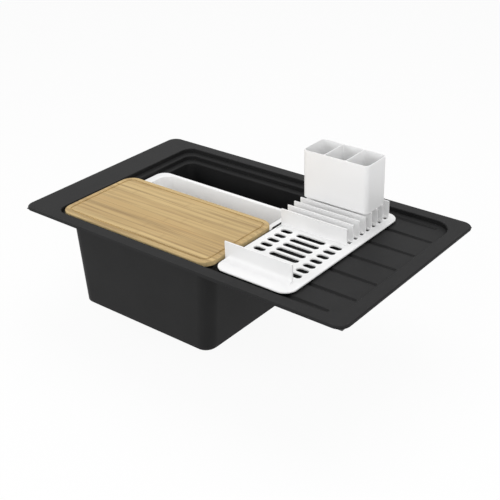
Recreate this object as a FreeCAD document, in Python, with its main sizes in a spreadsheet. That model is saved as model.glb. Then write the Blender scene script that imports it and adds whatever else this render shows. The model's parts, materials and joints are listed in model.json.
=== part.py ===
# Workstation kitchen sink: a one-piece composite inset sink with a stepped bowl and a drainer,
# its basket strainer waste and overflow, and the pieces that work on it: a chopping board and
# a colander that slide over the bowl, and a drying rack that carries a cutlery holder.
#
# Millimetres. The origin is the centre of the worktop cut-out, on the worktop's top face, so the
# rim lies above zero and everything else hangs below it. X runs along the sink towards the
# drainer, Y from the user's side to the back, Z up.

import FreeCAD, Part
import os
import re
import Sketcher
from FreeCAD import Rotation, Vector

doc = FreeCAD.newDocument("workstation_sink")
sheet = doc.addObject("Spreadsheet::Sheet", "sizes")


# ---------------------------------------------------------------- driving dimensions

NAMES = []


def cell_for(name):
    """The next free row of the sheet, labelled with the name."""
    NAMES.append(name)
    row = len(NAMES)
    sheet.set(f"A{row}", name)
    return f"B{row}"


def given(**numbers):
    """Sizes that can each be set by themselves."""
    for name, number in numbers.items():
        cell = cell_for(name)
        sheet.set(cell, str(number))
        sheet.setAlias(cell, name)


def derived(**formulas):
    """Places and sizes that follow from the given ones."""
    for name, formula in formulas.items():
        cell = cell_for(name)
        sheet.set(cell, "=" + formula)
        sheet.setAlias(cell, name)


# The moulding: rim, stepped recess, bowl and drainer
given(sink_length=860, sink_width=500, overall_depth=238)
given(rim_thickness=6, rim_corner=24, rim_bevel=1.8, shell=9)
given(left_margin=77, right_margin=31.5, side_margin=29)
given(recess_depth=10, recess_corner_left=25, recess_corner_right=45, step_bevel=1.4)
given(upper_shelf=17, shelf_step=10, lower_shelf=16.6, lower_recess_length=412)
given(shelf_corner=22, bowl_corner=22, bowl_draft_angle=2.9, bowl_wall=10)
given(overflow_wall_extra=13.6, casing_corner=30, casing_draft_left=12.5)
given(casing_draft_right=15.5, casing_draft_side=3, underside_bevel=5)
given(floor_thickness=9, floor_fall=5, dish_margin=42.4)
derived(rim_left="-sink_length / 2", rim_right="sink_length / 2")
derived(rim_front="-sink_width / 2", rim_back="sink_width / 2")
derived(recess_left="rim_left + left_margin", recess_right="rim_right - right_margin")
derived(recess_front="rim_front + side_margin", recess_back="rim_back - side_margin")
derived(upper_floor="rim_thickness - recess_depth", lower_floor="upper_floor - shelf_step")
derived(shelf_left="recess_left + upper_shelf", shelf_right="shelf_left + lower_recess_length")
derived(shelf_front="recess_front + upper_shelf", shelf_back="recess_back - upper_shelf")
derived(bowl_left="shelf_left + lower_shelf", bowl_right="shelf_right - lower_shelf")
derived(bowl_front="shelf_front + lower_shelf", bowl_back="shelf_back - lower_shelf")
derived(casing_left="bowl_left - bowl_wall - overflow_wall_extra")
derived(casing_right="bowl_right + bowl_wall", casing_front="bowl_front - bowl_wall")
derived(casing_back="bowl_back + bowl_wall", casing_top="lower_floor - shell")
derived(underside="rim_thickness - overall_depth", floor_low="underside + floor_thickness")
derived(floor_edge="floor_low + floor_fall", waste_x="(bowl_left + bowl_right) / 2")
derived(floor_dish_radius="(bowl_back - bowl_front) / 2 - dish_margin")

# Drainer grooves: long cones that cut deeper towards the bowl
given(groove_end_gap=7.5, corner_groove_end_gap=29, groove_side_gap=80, corner_side_gap=20)
given(groove_small=7.25, groove_large=10.4, groove_lift=5.4, groove_runout=6)
derived(groove_pitch="(recess_back - recess_front - 2 * groove_side_gap) / 4")
derived(corner_groove_pitch="groove_side_gap - corner_side_gap")

# Sealing strips stuck under the rim
given(seal_width=9, seal_thickness=2, seal_inset=5)

# Basket strainer waste
given(cup_radius=43.5, cup_wall=1.2, cup_depth=32, hole_clearance=1.5, flange_overlap=11.5)
given(flange_lip=1.2, seat_clearance=1, waste_seat_depth=2.5, gasket_thickness=1.5)
given(screw_radius=3, screw_clearance=0.3, thread_gap=0.05)
given(body_flange_overlap=11, body_flange_thickness=4, body_overlap=4, body_wall=3, body_depth=46)
given(thread_radius=23.9, thread_length=18, outlet_bore=20, port_bore=9.3)
given(port_length=26, port_drop=24)
given(basket_clearance=0.8, basket_depth=24, basket_wall=1, basket_lip=3, stem_radius=3)
given(knob_radius=9, knob_height=7, plug_radius=14, plug_thickness=4, running_clearance=0.3)
derived(waste_hole="cup_radius + hole_clearance", cup_inner="cup_radius - cup_wall")
derived(flange_radius="waste_hole + flange_overlap", basket_radius="cup_inner - basket_clearance")
derived(waste_seat_radius="flange_radius + seat_clearance")
derived(body_radius="waste_hole + body_overlap")
derived(body_flange_radius="waste_hole + body_flange_overlap")
derived(seat_level="floor_low - waste_seat_depth", lip_level="seat_level + gasket_thickness")
derived(cup_floor="lip_level - cup_depth")
derived(body_top="underside - gasket_thickness", body_floor="body_top - body_depth")
derived(port_level="body_top - port_drop")

# Overflow through the left wall of the bowl
given(overflow_drop=60.5, overflow_hole=16, overflow_seat_radius=31, overflow_wall=17)
given(overflow_set_in=0.4, cover_radius=28, cover_thickness=3, housing_radius=28)
given(housing_flange=3, housing_depth=36, housing_wall=2.5, housing_step=6, spigot_place=21)
given(spigot_radius=14, spigot_length=12, overflow_gasket_thickness=3, pipe_radius=11)
given(pipe_bore=9, pipe_bend=34, nut_across_flats=35, nut_length=11.5)
derived(overflow_level="rim_thickness - overflow_drop")
derived(overflow_inside="bowl_left + overflow_set_in")
derived(overflow_outside="overflow_inside - overflow_wall")
derived(housing_face="overflow_outside - overflow_gasket_thickness")
derived(cup_outside="housing_radius - housing_step", pipe_x="housing_face - spigot_place")

# Drying rack
given(rack_setback=15.5, rack_length=188, rack_front_gap=11.5, rack_back_gap=24)
given(rack_thickness=3, rack_corner=28, rack_bevel=1, foot_radius=5)
given(fin_thickness=3, fin_height=36, fin_pitch=23.1)
given(fin_count=8, fin_margin_back=14.6, fin_margin_right=21)
given(rack_wall_height=39, rack_wall_place=41.5, rack_wall_cove=13)
given(slot_rows=7, slot_rib=7.6, slot_front_gap=68.5, slot_short=28.5, slot_long=72, slot_bridge=12)
given(slot_margin=16, fin_slot_width=9, slit_inset=3, slit_length=22, slit_width=2)
derived(rack_left="shelf_right + rack_setback", rack_right="rack_left + rack_length")
derived(rack_front="recess_front + rack_front_gap",
        rack_width="recess_back - recess_front - rack_front_gap - rack_back_gap")
derived(rack_back="rack_front + rack_width")
derived(rack_bottom="0", rack_top="rack_bottom + rack_thickness")
derived(fin_start="rack_width - fin_margin_back - (fin_count - 1) * fin_pitch")
derived(fin_first="rack_front + fin_start")
derived(fin_right="rack_right - fin_margin_right", fin_top="rack_top + fin_height")
derived(slot_pitch="(fin_first - rack_front - slot_front_gap) / slot_rows")
derived(slot_first="fin_first - slot_pitch", slot_width="slot_pitch - slot_rib")
derived(column_one="rack_left + slot_margin")
derived(column_two="column_one + slot_short + slot_bridge")
derived(column_three="column_two + slot_long + slot_bridge")
derived(column_end="column_three + slot_short")

# Cutlery holder, standing on the rear fins
given(holder_length=164.5, holder_width=76, holder_height=109)
given(holder_corner=11, holder_wall=2, holder_floor=3, holder_place=81.5, holder_forward=1.5)
given(holder_fin=5, cell_corner=3, drain_hole=3)
derived(holder_x="rack_left + holder_place")
derived(holder_y="fin_first + holder_fin * fin_pitch - holder_forward")
derived(holder_top="fin_top + holder_height", holder_inside="fin_top + holder_floor")
derived(cell_length="(holder_length - 4 * holder_wall) / 3")
derived(cell_width="holder_width - 2 * holder_wall")

# Chopping board
given(board_width=224, board_gap=3.2, board_side_gap=7, board_thickness=12, board_corner=30)
given(board_bevel=1.6, juice_inset=11, juice_width=5, juice_depth=2)
derived(board_left="recess_left + board_side_gap", board_right="rack_left - board_side_gap")
derived(board_front="recess_front + board_gap", board_back="board_front + board_width")
derived(board_bottom="upper_floor", board_top="board_bottom + board_thickness")

# Colander
given(tray_gap_left=4, tray_gap_right=2, tray_width=179, tray_back_gap=102.8)
given(tray_thickness=3, tray_corner=26, tray_bevel=1.2, tray_ledge_left=22)
given(tray_ledge_right=18, tray_side_ledge=9, tray_depth=62, tray_draft_angle=8.3)
given(tray_wall=2.5, cavity_corner=27, tray_slot_rows=4, tray_slot_columns=7)
given(tray_slot_width=5, tray_slot_length=26, tray_slot_pitch=38, tray_row_pitch=24)
derived(tray_left="shelf_left + tray_gap_left", tray_right="shelf_right - tray_gap_right")
derived(tray_back="shelf_back - tray_back_gap", tray_front="tray_back - tray_width")
derived(tray_top="lower_floor + tray_thickness", tray_bottom="lower_floor - tray_depth")
derived(tray_middle_x="(tray_left + tray_ledge_left + tray_right - tray_ledge_right) / 2")
derived(tray_middle_y="(tray_front + tray_back) / 2")
doc.recompute()


# ---------------------------------------------------------------- drawing helpers

WORD = re.compile(r"[a-z][a-z_]*[a-z]")
ORIGIN_POINT = (-1, 1)
X_AXIS = -1
Y_AXIS = -2
START = 1
END = 2
CENTRE = 3


def linked(formula):
    """The formula with every name of the sheet written as the sheet's own cell."""
    return WORD.sub(lambda m: f"sizes.{m.group(0)}" if m.group(0) in NAMES else m.group(0), formula)


def value(formula):
    """What a formula comes to with the sizes as they are."""
    return float(sheet.evalExpression(linked(formula)))


def bind(thing, place, formula):
    """Ties one property to the sheet."""
    thing.setExpression(place, linked(formula))


def plane_of(body, role):
    """One of the body's own origin planes."""
    return next(feature for feature in body.Origin.OriginFeatures if feature.Role == role)


def new_body(label, x="0", y="0", z="0"):
    """An empty body under its own name, placed by formulas."""
    body = doc.addObject("PartDesign::Body", label)
    body.Label = label
    for axis, formula in zip("xyz", (x, y, z)):
        if formula != "0":
            bind(body, f"Placement.Base.{axis}", formula)
    return body


def new_sketch(body, name, plane="XY_Plane", level="0"):
    """An empty sketch on an origin plane of the body, moved along the plane's normal."""
    sketch = body.newObject("Sketcher::SketchObject", f"{body.Name}_{name}")
    sketch.AttachmentSupport = [(plane_of(body, plane), "")]
    sketch.MapMode = "FlatFace"
    if level != "0":
        bind(sketch, "AttachmentOffset.Base.z", level)
    return sketch


def dimension(sketch, kind, where, formula):
    """One driving dimension, tied to the sheet. A place of nought lies on the axis instead."""
    if formula == "0" and kind in ("DistanceX", "DistanceY"):
        axis = Y_AXIS if kind == "DistanceX" else X_AXIS
        sketch.addConstraint(Sketcher.Constraint("PointOnObject", *where[2:], axis))
        return
    index = sketch.addConstraint(Sketcher.Constraint(kind, *where, value(formula)))
    bind(sketch, f"Constraints[{index}]", formula)


def place(sketch, geometry, point, x=None, y=None):
    """Holds a point of the sketch at x and y from the origin."""
    if x is not None:
        dimension(sketch, "DistanceX", (*ORIGIN_POINT, geometry, point), x)
    if y is not None:
        dimension(sketch, "DistanceY", (*ORIGIN_POINT, geometry, point), y)


def line(x1, y1, x2, y2):
    return Part.LineSegment(Vector(x1, y1, 0), Vector(x2, y2, 0))


def arc(x, y, radius, start, end):
    """An arc about x, y, with its angles in quarter turns."""
    quarter = 1.5707963267948966
    circle_ = Part.Circle(Vector(x, y, 0), Vector(0, 0, 1), radius)
    return Part.ArcOfCircle(circle_, start * quarter, end * quarter)


def rounded_rectangle(sketch, left, right, front, back, corner, corner_right=None):
    """Four sides and four corner arcs. corner_right is for the two corners on the right."""
    l, r, f, b, c = (value(formula) for formula in (left, right, front, back, corner))
    d = value(corner_right or corner)
    sides = [line(l + c, f, r - d, f), line(r, f + d, r, b - d)]
    sides += [line(r - d, b, l + c, b), line(l, b - c, l, f + c)]
    arcs = [arc(r - d, f + d, d, 3, 4), arc(r - d, b - d, d, 0, 1)]
    arcs += [arc(l + c, b - c, c, 1, 2), arc(l + c, f + c, c, 2, 3)]
    first = len(sketch.Geometry)
    sketch.addGeometry(sides + arcs)
    side = [first + i for i in range(4)]
    turn = [first + 4 + i for i in range(4)]
    rules = []
    for i in range(4):
        rules.append(Sketcher.Constraint("Tangent", side[i], END, turn[i], START))
        rules.append(Sketcher.Constraint("Tangent", turn[i], END, side[(i + 1) % 4], START))
        rules.append(Sketcher.Constraint("Horizontal" if i % 2 == 0 else "Vertical", side[i]))
    rules.append(Sketcher.Constraint("Equal", turn[0], turn[1]))
    rules.append(Sketcher.Constraint("Equal", turn[2], turn[3]))
    if corner_right is None:
        rules.append(Sketcher.Constraint("Equal", turn[1], turn[2]))
    sketch.addConstraint(rules)
    dimension(sketch, "Radius", (turn[2],), corner)
    if corner_right is not None:
        dimension(sketch, "Radius", (turn[0],), corner_right)
    place(sketch, side[1], START, x=right)
    place(sketch, side[3], START, x=left)
    place(sketch, side[0], START, y=front)
    place(sketch, side[2], START, y=back)


def rectangle(sketch, left, right, front, back):
    """Four sides with square corners."""
    outline(sketch, [(left, front), (right, front), (right, back), (left, back)])


def slot(sketch, left, right, middle, width):
    """A slot with round ends, lying along the sketch's first axis."""
    l, r, m, h = value(left), value(right), value(middle), value(width) / 2
    first = len(sketch.Geometry)
    sketch.addGeometry([line(l + h, m - h, r - h, m - h), line(r - h, m + h, l + h, m + h)])
    sketch.addGeometry([arc(r - h, m, h, -1, 1), arc(l + h, m, h, 1, 3)])
    lower, upper, right_end, left_end = range(first, first + 4)
    sketch.addConstraint([
        Sketcher.Constraint("Tangent", lower, END, right_end, START),
        Sketcher.Constraint("Tangent", right_end, END, upper, START),
        Sketcher.Constraint("Tangent", upper, END, left_end, START),
        Sketcher.Constraint("Tangent", left_end, END, lower, START),
        Sketcher.Constraint("Horizontal", lower),
        Sketcher.Constraint("Equal", right_end, left_end),
    ])
    dimension(sketch, "Radius", (left_end,), f"({width}) / 2")
    place(sketch, left_end, CENTRE, x=f"({left}) + ({width}) / 2", y=middle)
    place(sketch, right_end, CENTRE, x=f"({right}) - ({width}) / 2")


def circle(sketch, x, y, radius):
    geometry = sketch.addGeometry(
        Part.Circle(Vector(value(x), value(y), 0), Vector(0, 0, 1), value(radius)))
    place(sketch, geometry, CENTRE, x=x, y=y)
    dimension(sketch, "Radius", (geometry,), radius)


def outline(sketch, corners):
    """A closed run of straight lines through corners, each given as two formulas."""
    points = [(value(x), value(y)) for x, y in corners]
    count = len(points)
    first = len(sketch.Geometry)
    sketch.addGeometry([line(*points[i], *points[(i + 1) % count]) for i in range(count)])
    for i in range(count):
        sketch.addConstraint(
            Sketcher.Constraint("Coincident", first + i, END, first + (i + 1) % count, START))
    for i, (x, y) in enumerate(corners):
        place(sketch, first + i, START, x=x, y=y)


# ---------------------------------------------------------------- feature helpers

def feature(body, kind, name):
    return body.newObject(f"PartDesign::{kind}", f"{body.Name}_{name}")


def pad(body, sketch, name, length, down=False):
    """Raises a sketch into material, upwards unless down is set."""
    solid = feature(body, "Pad", name)
    solid.Profile = sketch
    solid.Reversed = down
    bind(solid, "Length", length)
    return solid


def must_cut(body, name, tool):
    """Recomputes, and stops if a cut took nothing away."""
    doc.recompute()
    if not tool.Shape.Volume < tool.BaseFeature.Shape.Volume:
        raise RuntimeError(f"{body.Label}: {name} cuts nothing")
    return tool


def pocket(body, sketch, name, depth=None, up=False):
    """Cuts a sketch down into the body, or up, or right through when no depth is given."""
    tool = feature(body, "Pocket", name)
    tool.Profile = sketch
    tool.Reversed = up
    if depth is None:
        tool.Type = "ThroughAll"
    else:
        bind(tool, "Length", depth)
    return must_cut(body, name, tool)


def revolve(body, sketch, name, axis="V_Axis"):
    solid = feature(body, "Revolution", name)
    solid.Profile = sketch
    solid.ReferenceAxis = (sketch, [axis])
    solid.Angle = 360
    return solid


def turn_away(body, sketch, name, edge):
    """Cuts a profile out of the body by turning it about one of its own edges."""
    tool = feature(body, "Groove", name)
    tool.Profile = sketch
    tool.ReferenceAxis = (sketch, [edge])
    tool.Angle = 360
    return must_cut(body, name, tool)


def row(body, tool, sketch, name, axis, length, count, backwards=False):
    """Repeats a feature in a straight row along an axis of its sketch."""
    pattern = feature(body, "LinearPattern", name)
    pattern.Originals = [tool]
    pattern.Direction = (sketch, [axis])
    pattern.Reversed = backwards
    bind(pattern, "Length", length)
    bind(pattern, "Occurrences", count)
    body.Tip = pattern
    doc.recompute()
    return pattern


def ring(body, tool, sketch, name, count):
    """Repeats a feature round the normal of its sketch."""
    pattern = feature(body, "PolarPattern", name)
    pattern.Originals = [tool]
    pattern.Axis = (sketch, ["N_Axis"])
    pattern.Angle = 360
    pattern.Occurrences = count
    body.Tip = pattern
    doc.recompute()
    return pattern


def dress_edges(body, kind, name, measure, size, wanted):
    """A fillet or chamfer on the edges of the body's tip for which wanted(edge) holds."""
    doc.recompute()
    base = body.Tip
    edges = [f"Edge{i + 1}" for i, edge in enumerate(base.Shape.Edges) if wanted(edge)]
    if not edges:
        raise RuntimeError(f"{body.Label}: {name} finds no edge")
    tool = feature(body, kind, name)
    tool.Base = (base, edges)
    bind(tool, measure, size)
    doc.recompute()
    if "Invalid" in tool.State or tool.Shape.isNull():
        raise RuntimeError(f"{body.Label}: {name} can't be made")
    return tool


def round_edges(body, name, radius, wanted):
    """Rounds the wanted edges."""
    return dress_edges(body, "Fillet", name, "Radius", radius, wanted)


def bevel_edges(body, name, size, wanted):
    """Takes the sharpness off the wanted edges with a narrow flat."""
    return dress_edges(body, "Chamfer", name, "Size", size, wanted)


CLOSE = 0.01


def level_at(edge, height):
    """Whether an edge lies all at one height."""
    box = edge.BoundBox
    return abs(box.ZMin - height) < CLOSE and abs(box.ZMax - height) < CLOSE


def spans(edge, low, high):
    """Whether an edge runs from one height to another."""
    box = edge.BoundBox
    return abs(box.ZMin - low) < CLOSE and abs(box.ZMax - high) < CLOSE


def inside(edge, left, right, front, back):
    """Whether an edge lies within a rectangle seen from above."""
    box = edge.BoundBox
    return (box.XMin > left - CLOSE and box.XMax < right + CLOSE
            and box.YMin > front - CLOSE and box.YMax < back + CLOSE)


# ---------------------------------------------------------------- the composite moulding

def sink_body():
    """Rim, stepped recess, bowl and drainer, moulded in one piece."""
    body = new_body("sink_body")

    add_bowl_casing(body)

    shelf_casing = new_sketch(body, "shelf_casing_outline")
    rounded_rectangle(shelf_casing, "shelf_left - shell", "shelf_right + shell",
                      "shelf_front - shell", "shelf_back + shell", "shelf_corner + shell")
    pad(body, shelf_casing, "shelf_casing", "shell - lower_floor", down=True)

    casing = new_sketch(body, "recess_casing_outline")
    rounded_rectangle(casing, "recess_left - shell", "recess_right + shell",
                      "recess_front - shell", "recess_back + shell",
                      "recess_corner_left + shell", "recess_corner_right + shell")
    pad(body, casing, "recess_casing", "shell - upper_floor", down=True)

    rim = new_sketch(body, "rim_outline")
    rounded_rectangle(rim, "rim_left", "rim_right", "rim_front", "rim_back", "rim_corner")
    pad(body, rim, "rim", "rim_thickness")

    recess = new_sketch(body, "recess_outline", level="rim_thickness")
    rounded_rectangle(recess, "recess_left", "recess_right", "recess_front", "recess_back",
                      "recess_corner_left", "recess_corner_right")
    pocket(body, recess, "recess", "recess_depth")

    lower = new_sketch(body, "lower_recess_outline", level="upper_floor")
    rounded_rectangle(lower, "shelf_left", "shelf_right", "shelf_front", "shelf_back",
                      "shelf_corner")
    pocket(body, lower, "lower_recess", "shelf_step")

    bowl_mouth = new_sketch(body, "bowl_mouth", level="lower_floor")
    rectangle(bowl_mouth, "bowl_left", "bowl_right", "bowl_front", "bowl_back")
    bowl = pocket(body, bowl_mouth, "bowl", "lower_floor - floor_edge")
    bind(bowl, "TaperAngle", "-bowl_draft_angle")
    # One radius for the bowl's corners and its foot, so that they meet in parts of a ball.
    mouth, foot = value("lower_floor"), value("floor_edge")
    round_edges(body, "bowl_rounds", "bowl_corner",
                lambda edge: spans(edge, foot, mouth)
                or level_at(edge, foot) and edge.BoundBox.DiagonalLength > CLOSE)

    dish = new_sketch(body, "floor_dish_profile", "XZ_Plane")
    outline(dish, [("waste_x", "floor_low"), ("waste_x + waste_seat_radius", "floor_low"),
                   ("waste_x + floor_dish_radius", "floor_edge"), ("waste_x", "floor_edge")])
    turn_away(body, dish, "floor_dish", "Edge4")

    bevel_steps(body)
    cut_waste_seat(body)
    cut_overflow_seat(body)
    cut_drain_grooves(body)
    return body


def add_bowl_casing(body):
    """The outside of the bowl: four flat walls that lean in, and round corners. Its left wall
    is thicker and leans more, to take the overflow."""
    profile = new_sketch(body, "bowl_casing_profile", "XZ_Plane", level="-casing_back")
    outline(profile, [("casing_left", "casing_top"),
                      ("casing_left + casing_draft_left", "underside"),
                      ("casing_right - casing_draft_right", "underside"),
                      ("casing_right", "casing_top")])
    pad(body, profile, "bowl_casing", "casing_back - casing_front")
    doc.recompute()
    for side, edge, inward in (("front", "casing_front", "casing_draft_side"),
                               ("back", "casing_back", "-casing_draft_side")):
        wedge = new_sketch(body, f"casing_{side}_wedge", "YZ_Plane", level="casing_left - 1")
        outline(wedge, [(edge, "casing_top"), (f"{edge} + {inward}", "underside"),
                        (edge, "underside")])
        pocket(body, wedge, f"casing_{side}_lean", "casing_right - casing_left + 2", up=True)
    top, foot = value("casing_top"), value("underside")
    round_edges(body, "casing_corners", "casing_corner", lambda edge: spans(edge, foot, top))
    bevel_edges(body, "underside_edge", "underside_bevel", lambda edge: level_at(edge, foot))


def bevel_steps(body):
    """The narrow bevels round the rim and round the mouths of both steps and the bowl."""
    mouths = (("bowl", "lower_floor", "bowl"), ("lower_recess", "upper_floor", "shelf"),
              ("recess", "rim_thickness", "recess"))
    for name, level, outline_name in mouths:
        height, box = value(level), seen_from_above(outline_name)
        bevel_edges(body, f"{name}_mouth_edge", "step_bevel",
                    lambda edge: level_at(edge, height) and inside(edge, *box))
    rim_top, box = value("rim_thickness"), seen_from_above("recess", value("step_bevel"))
    bevel_edges(body, "rim_edge", "rim_bevel",
                lambda edge: level_at(edge, rim_top) and not inside(edge, *box))


def seen_from_above(name, margin=0.0):
    """Left, right, front and back of one of the sink's outlines, grown by a margin."""
    return (value(f"{name}_left") - margin, value(f"{name}_right") + margin,
            value(f"{name}_front") - margin, value(f"{name}_back") + margin)


def cut_waste_seat(body):
    """The hole of the waste, and the shallow seat that its flange lies in."""
    seat = new_sketch(body, "waste_seat", level="floor_edge")
    circle(seat, "waste_x", "0", "waste_seat_radius")
    pocket(body, seat, "waste_seat_cut", "floor_edge - seat_level")
    hole = new_sketch(body, "waste_hole_outline", level="floor_edge")
    circle(hole, "waste_x", "0", "waste_hole")
    pocket(body, hole, "waste_hole_cut")


def cut_overflow_seat(body):
    """The overflow's hole, with a flat seat on each side of the sloping wall."""
    inner = new_sketch(body, "overflow_inner_seat", "YZ_Plane", level="overflow_inside")
    circle(inner, "0", "overflow_level", "overflow_seat_radius")
    pocket(body, inner, "overflow_inner_cut", "overflow_wall_extra * 3", up=True)
    outer = new_sketch(body, "overflow_outer_seat", "YZ_Plane", level="overflow_outside")
    circle(outer, "0", "overflow_level", "overflow_seat_radius")
    pocket(body, outer, "overflow_outer_cut", "overflow_wall_extra * 3")
    hole = new_sketch(body, "overflow_hole_outline", "YZ_Plane", level="overflow_inside + 1")
    circle(hole, "0", "overflow_level", "overflow_hole")
    pocket(body, hole, "overflow_hole_cut", "overflow_wall + 2")


def groove_profile(body, name, y, end_gap):
    """Half of a long cone with a round tip, lying along the drainer just above its floor."""
    sketch = new_sketch(body, name, "XZ_Plane", level=f"-({y})")
    tip_x = f"recess_right - {end_gap} - groove_small"
    near_x = "shelf_right - groove_runout"
    axis_z = "upper_floor + groove_lift"
    x1, x2, z = value(near_x), value(tip_x), value(axis_z)
    small, large = value("groove_small"), value("groove_large")
    sketch.addGeometry([
        line(x1, z, x1, z - large),
        line(x1, z - large, x2, z - small),
        arc(x2, z, small, -1, 0),
        line(x2 + small, z, x1, z),
    ])
    sketch.addConstraint([
        Sketcher.Constraint("Coincident", 0, END, 1, START),
        Sketcher.Constraint("Coincident", 1, END, 2, START),
        Sketcher.Constraint("Coincident", 2, END, 3, START),
        Sketcher.Constraint("Coincident", 3, END, 0, START),
        Sketcher.Constraint("Vertical", 0),
        Sketcher.Constraint("Horizontal", 3),
        Sketcher.Constraint("PointOnObject", 2, CENTRE, 3),
        Sketcher.Constraint("Vertical", 2, START, 2, CENTRE),
    ])
    place(sketch, 0, START, x=near_x, y=axis_z)
    place(sketch, 2, CENTRE, x=tip_x)
    dimension(sketch, "Radius", (2,), "groove_small")
    dimension(sketch, "DistanceY", (0, END, 0, START), "groove_large")
    return sketch


def drain_groove(body, name, y, end_gap):
    """One groove, cut by turning its profile about its own long edge."""
    sketch = groove_profile(body, f"{name}_profile", y, end_gap)
    return turn_away(body, sketch, name, "Edge4")


def cut_drain_grooves(body):
    """Five even grooves, and a shorter one at each side where the corners are round."""
    for step in range(-2, 3):
        drain_groove(body, f"groove_{step + 3}", f"{step} * groove_pitch", "groove_end_gap")
    for side, name in ((-1, "front"), (1, "back")):
        drain_groove(body, f"corner_groove_{name}",
                     f"{side} * (2 * groove_pitch + corner_groove_pitch)",
                     "corner_groove_end_gap")


# ---------------------------------------------------------------- sealing strips

def box_between(label, left, right, front, back, bottom, top):
    """A plain block between six formulas."""
    block = doc.addObject("Part::Box", label)
    bind(block, "Length", f"({right}) - ({left})")
    bind(block, "Width", f"({back}) - ({front})")
    bind(block, "Height", f"({top}) - ({bottom})")
    for axis, formula in zip("xyz", (left, front, bottom)):
        bind(block, f"Placement.Base.{axis}", formula)
    return block


def group(label, members):
    """Separate solids of one kind under one name."""
    whole = doc.addObject("Part::Compound", label)
    whole.Label = label
    whole.Links = members
    return whole


def rim_seal():
    """Four strips of foam under the rim, butted at the corners."""
    left, right = "rim_left + seal_inset", "rim_right - seal_inset"
    front, back = "rim_front + seal_inset", "rim_back - seal_inset"
    strips = [
        box_between("seal_front", left, right, front, f"{front} + seal_width",
                    "-seal_thickness", "0"),
        box_between("seal_back", left, right, f"{back} - seal_width", back,
                    "-seal_thickness", "0"),
        box_between("seal_left", left, f"{left} + seal_width", f"{front} + seal_width",
                    f"{back} - seal_width", "-seal_thickness", "0"),
        box_between("seal_right", f"{right} - seal_width", right, f"{front} + seal_width",
                    f"{back} - seal_width", "-seal_thickness", "0"),
    ]
    return group("rim_seal", strips)


# ---------------------------------------------------------------- basket strainer waste

def turned(label, corners, x="waste_x"):
    """A piece turned about the waste's upright axis, from corners of radius and height."""
    body = new_body(label, x=x)
    profile = new_sketch(body, "profile", "XZ_Plane")
    outline(profile, corners)
    revolve(body, profile, "turned")
    doc.recompute()
    return body


def washer(label, inner, outer, bottom, top):
    """A flat ring about the waste's axis."""
    return turned(label, [(inner, bottom), (outer, bottom), (outer, top), (inner, top)])


def hole_ring(body, name, distance, radius, level, count, depth=None):
    """Round holes in a ring about the body's axis, cut down from a level."""
    sketch = new_sketch(body, name, level=level)
    circle(sketch, distance, "0", radius)
    tool = pocket(body, sketch, f"{name}_cut", depth)
    return ring(body, tool, sketch, f"{name}_ring", count)


def waste_flange():
    """The pressed steel cup in the floor of the bowl, with a rolled lip and a drilled bottom."""
    bore = "screw_radius + screw_clearance"
    body = turned("waste_flange", [
        (bore, "cup_floor"),
        ("cup_radius", "cup_floor"),
        ("cup_radius", "lip_level"),
        ("flange_radius", "lip_level"),
        ("flange_radius", "lip_level + flange_lip"),
        ("cup_inner", "lip_level + flange_lip"),
        ("cup_inner", "cup_floor + cup_wall"),
        (bore, "cup_floor + cup_wall"),
    ])
    hole_ring(body, "holes", "cup_radius / 2", "7", "cup_floor + cup_wall", 6, "cup_wall * 2")
    return body


def waste_body():
    """The plastic body under the floor, with the overflow's port and the threaded outlet."""
    wall = "body_wall"
    body = turned("waste_body", [
        ("thread_radius", "body_floor - thread_length"),
        ("thread_radius", "body_floor"),
        ("body_radius", "body_floor"),
        ("body_radius", "body_top - body_flange_thickness"),
        ("body_flange_radius", "body_top - body_flange_thickness"),
        ("body_flange_radius", "body_top"),
        (f"body_radius - {wall}", "body_top"),
        (f"body_radius - {wall}", f"body_floor + {wall}"),
        ("outlet_bore", f"body_floor + {wall}"),
        ("outlet_bore", "body_floor - thread_length"),
    ])
    # Crossed bars carry the boss that the clamping screw bites into.
    bars = new_sketch(body, "bars", level="body_floor + 1")
    outline(bars, [("-body_radius + 5", "-2"), ("body_radius - 5", "-2"),
                   ("body_radius - 5", "2"), ("-body_radius + 5", "2")])
    pad(body, bars, "bar_x", "10")
    cross = new_sketch(body, "cross_bar", level="body_floor + 1")
    outline(cross, [("-2", "-body_radius + 5"), ("2", "-body_radius + 5"),
                    ("2", "body_radius - 5"), ("-2", "body_radius - 5")])
    pad(body, cross, "bar_y", "10")
    boss = new_sketch(body, "boss", level="body_floor - 2")
    circle(boss, "0", "0", "7")
    pad(body, boss, "screw_boss", "14")
    port = new_sketch(body, "port", "YZ_Plane", level="-body_radius + body_wall")
    circle(port, "0", "port_level", "spigot_radius")
    pad(body, port, "overflow_port", "port_length + body_wall", down=True)
    doc.recompute()
    port_hole = new_sketch(body, "port_hole", "YZ_Plane", level="-body_radius + body_wall + 4")
    circle(port_hole, "0", "port_level", "port_bore")
    pocket(body, port_hole, "port_bore", "port_length + body_wall + 5")
    socket = new_sketch(body, "port_socket", "YZ_Plane", level="-body_radius - port_length")
    circle(socket, "0", "port_level", "pipe_radius + running_clearance / 2")
    pocket(body, socket, "pipe_socket", "port_length - 8", up=True)
    screw_hole = new_sketch(body, "screw_hole", level="body_floor + 12")
    circle(screw_hole, "0", "0", "screw_radius + thread_gap")
    pocket(body, screw_hole, "screw_bore", "13")
    return body


def clamp_screw():
    """The long screw that draws flange and body together through the floor."""
    return turned("clamp_screw", [
        ("0", "body_floor"),
        ("screw_radius", "body_floor"),
        ("screw_radius", "cup_floor + cup_wall"),
        ("screw_radius * 2", "cup_floor + cup_wall"),
        ("screw_radius * 2", "cup_floor + cup_wall + screw_radius"),
        ("0", "cup_floor + cup_wall + screw_radius"),
    ])


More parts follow.
